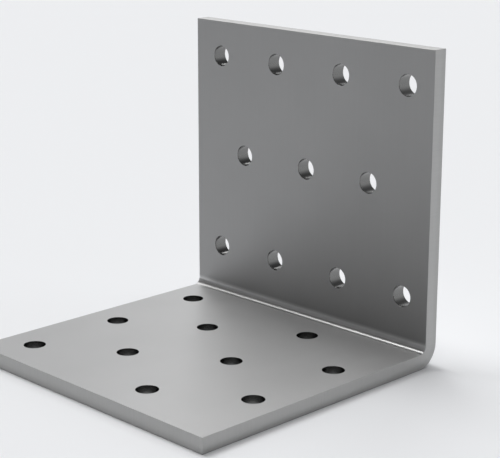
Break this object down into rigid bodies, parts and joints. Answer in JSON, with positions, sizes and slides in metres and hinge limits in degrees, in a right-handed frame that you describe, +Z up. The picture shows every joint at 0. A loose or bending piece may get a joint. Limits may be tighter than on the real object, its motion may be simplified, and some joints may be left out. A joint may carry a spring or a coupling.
{
  "type": "angle bracket",
  "caption": "Thick plate folded once to a right angle, with round fixing holes through both legs, for joining two members at a corner.",
  "frame": {"origin": "middle of the footprint, on the plane of the lying leg's underside", "axes": "+X along the fold, +Y out of the upright leg's back face, +Z up the upright leg; the lying leg's free end is at -Y"},
  "size_m": [0.083, 0.08, 0.08],
  "materials": {
    "zinc_plated_steel": "cold-rolled steel, thin even zinc plating, satin, neutral grey"
  },
  "bodies": {
    "root": {"angle_bracket": "zinc_plated_steel"}
  },
  "joints": []
}
